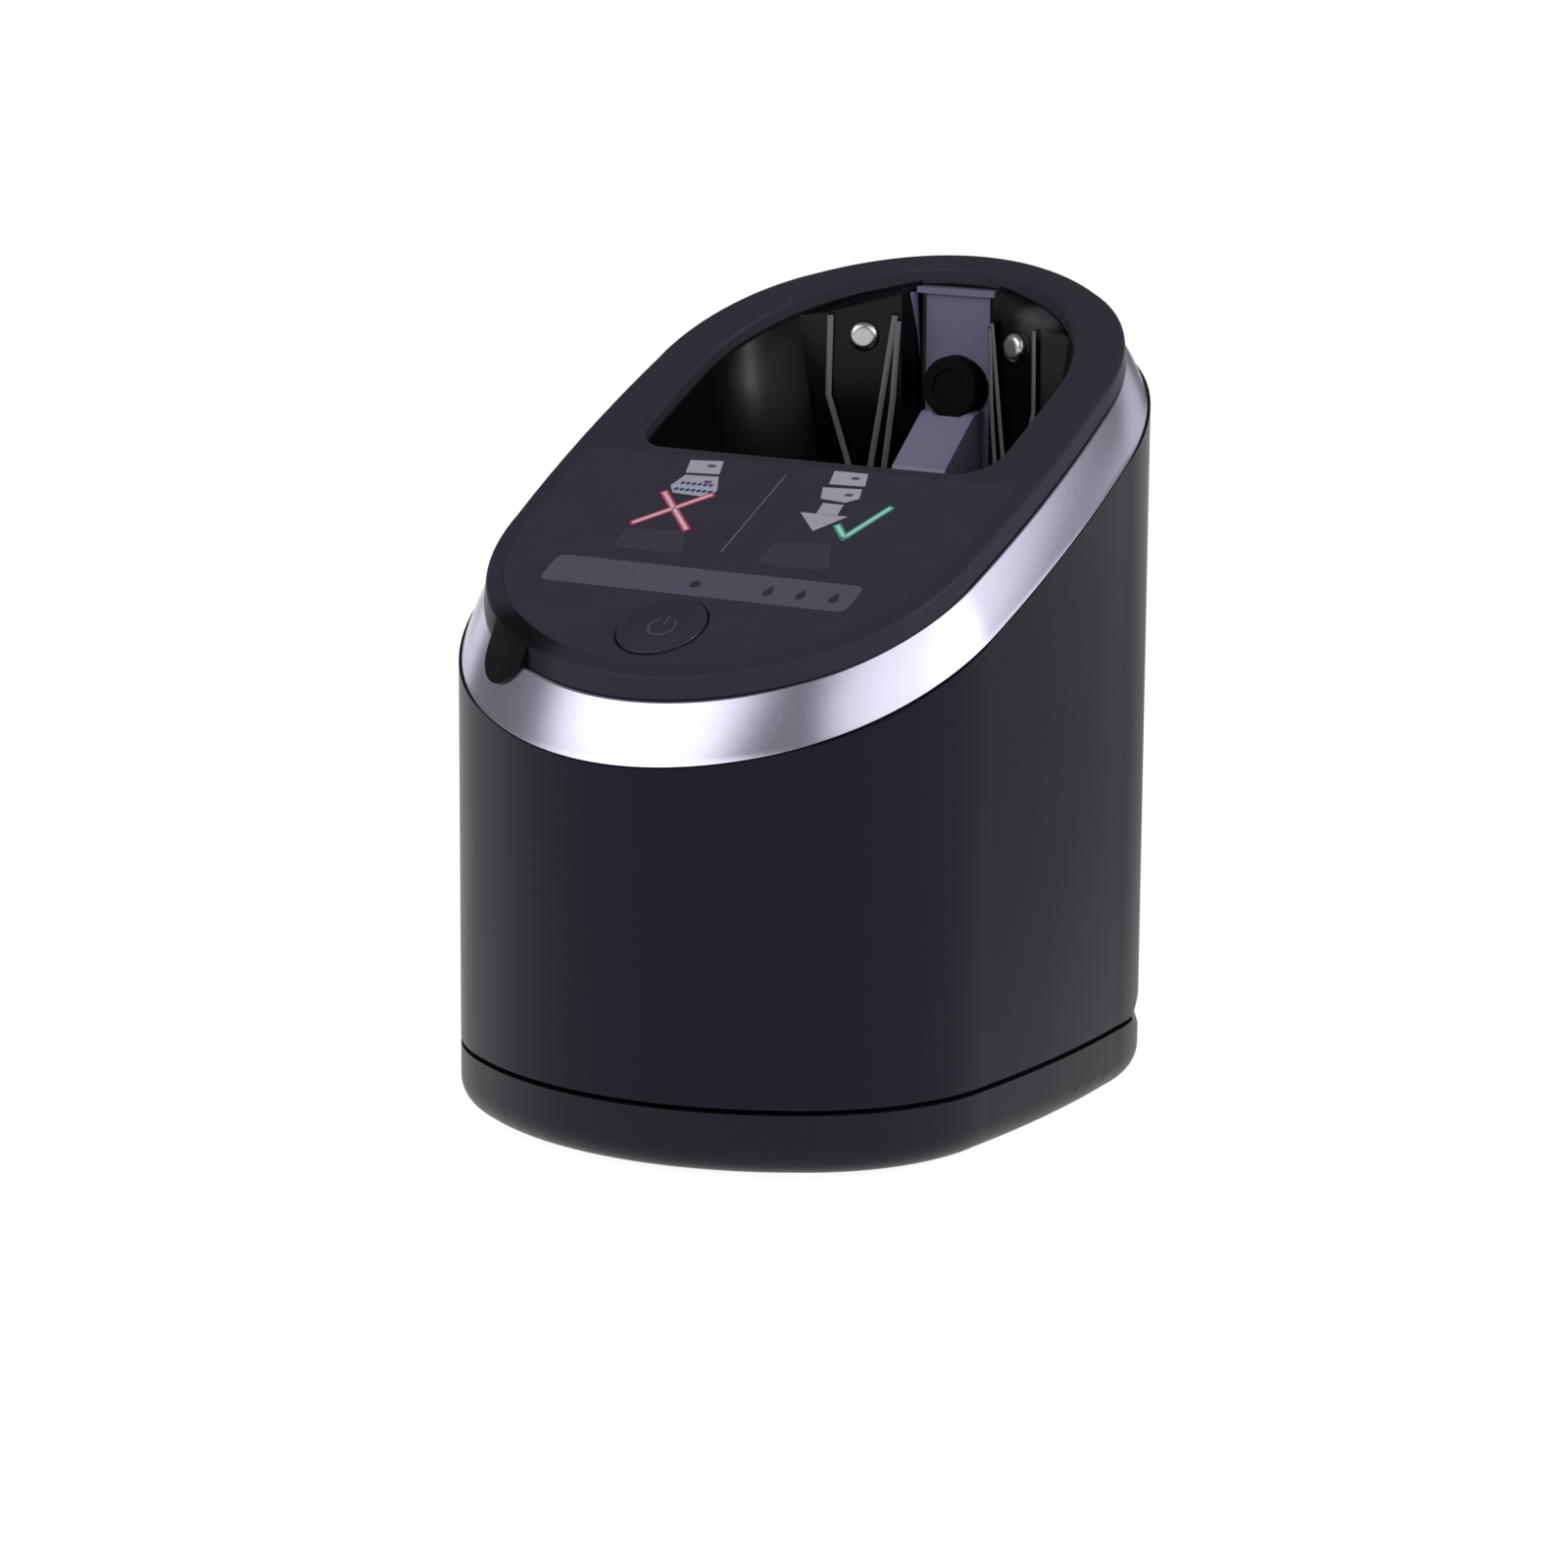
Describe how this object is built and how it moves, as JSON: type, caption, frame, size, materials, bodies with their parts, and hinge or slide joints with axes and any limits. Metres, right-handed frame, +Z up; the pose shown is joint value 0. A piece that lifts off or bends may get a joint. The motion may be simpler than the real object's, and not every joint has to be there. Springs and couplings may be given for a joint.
{
  "type": "shaver cleaning and charging stand",
  "caption": "Upright oval stand that charges and rinses a shaver held head down in the open well of its slanted top; the housing lifts off its base to change the fluid tank.",
  "frame": {"origin": "middle of the oval footprint, on the surface the stand rests on", "axes": "+Z up, -Y the low front edge with the start button, +Y the high back with the power inlet, +X to the right"},
  "size_m": [0.112, 0.14, 0.1555],
  "materials": {
    "housing_plastic": "near-black satin moulded plastic",
    "base_plastic": "near-black satin moulded plastic",
    "satin_chrome": "satin plated ring",
    "cap_plastic": "dark grey-violet satin moulded plastic",
    "panel_plastic": "dark satin printed panel",
    "display_plastic": "smoky translucent strip",
    "button_plastic": "dark satin dished button",
    "basin_plastic": "glossy black moulded plastic",
    "spine_plastic": "glossy violet-grey moulded plastic",
    "seal_rubber": "soft black rubber",
    "contact_metal": "bright plated contact",
    "spring_steel": "bright spring wire",
    "rod_steel": "ground steel rod",
    "screw_steel": "zinc-plated screw",
    "board_laminate": "green circuit board laminate",
    "part_plastic": "dark moulded component",
    "clear_plastic": "clear light guide",
    "led_plastic": "diffused light-emitting diode",
    "motor_steel": "drawn steel motor can",
    "pump_plastic": "natural grey moulded plastic",
    "hose_silicone": "milky silicone tube",
    "cartridge_plastic": "translucent blue-grey moulded plastic",
    "filter_foam": "pale filter fleece",
    "pin_brass": "plated brass pin"
  },
  "bodies": {
    "base": {"base_shell": "base_plastic", "base_deck": "base_plastic", "base_screws": "screw_steel", "rubber_feet": "seal_rubber", "guide_rods": "rod_steel", "lift_springs": "spring_steel", "latch_catch": "base_plastic", "cartridge_tank": "cartridge_plastic", "cartridge_lid": "cartridge_plastic", "port_seals": "seal_rubber", "cartridge_filter": "filter_foam"},
    "housing": {"housing_shell": "housing_plastic", "chrome_collar": "satin_chrome", "top_cap": "cap_plastic", "control_panel": "panel_plastic", "display_window": "display_plastic", "light_guide": "clear_plastic", "status_leds": "led_plastic", "control_board": "board_laminate", "board_screws": "screw_steel", "tact_switch": "part_plastic", "well_gasket": "seal_rubber", "well_basin": "basin_plastic", "contact_cradle": "basin_plastic", "cradle_spine": "spine_plastic", "locating_boss": "seal_rubber", "chassis": "housing_plastic", "power_board": "board_laminate", "board_parts": "part_plastic", "housing_screws": "screw_steel", "pump_housing": "pump_plastic", "pump_cover": "pump_plastic", "pump_motor": "motor_steel", "suction_tube": "pump_plastic", "supply_hose": "hose_silicone", "spray_nozzle": "pump_plastic", "drain_tube": "pump_plastic", "power_socket": "part_plastic", "socket_pins": "pin_brass", "release_spring": "spring_steel", "contact_spring_left": "spring_steel", "contact_spring_right": "spring_steel"},
    "start_button": {"start_button": "button_plastic", "switch_plunger": "part_plastic"},
    "release_button": {"release_button": "housing_plastic"},
    "pump_rotor": {"motor_shaft": "rod_steel", "pump_impeller": "pump_plastic"},
    "contact_left": {"contact_pin_left": "contact_metal"},
    "contact_right": {"contact_pin_right": "contact_metal"}
  },
  "joints": [
    {"name": "housing_lift", "type": "slide", "parent": "base", "child": "housing", "axis": [0, 0, 1], "range_m": [0, 0.045], "deforming": ["lift_springs"]},
    {"name": "start_button_press", "type": "slide", "parent": "housing", "child": "start_button", "axis": [0, 0.4454, -0.8953], "range_m": [0, 0.0008], "stiffness_N_per_m": 1500, "springref_m": -0.0004},
    {"name": "release_press", "type": "slide", "parent": "housing", "child": "release_button", "axis": [0, -1, 0], "range_m": [0, 0.002], "stiffness_N_per_m": 500, "springref_m": -0.002, "deforming": ["release_spring"]},
    {"name": "contact_left_press", "type": "slide", "parent": "housing", "child": "contact_left", "axis": [-0.3746, 0.9272, 0], "range_m": [0, 0.0012], "stiffness_N_per_m": 250, "springref_m": -0.001, "deforming": ["contact_spring_left"]},
    {"name": "contact_right_press", "type": "slide", "parent": "housing", "child": "contact_right", "axis": [0.3746, 0.9272, 0], "range_m": [0, 0.0012], "stiffness_N_per_m": 250, "springref_m": -0.001, "deforming": ["contact_spring_right"]},
    {"name": "pump_spin", "type": "hinge", "parent": "housing", "child": "pump_rotor", "pos_m": [-0.02, -0.026, 0.066], "axis": [0, 0, 1], "continuous": true}
  ]
}
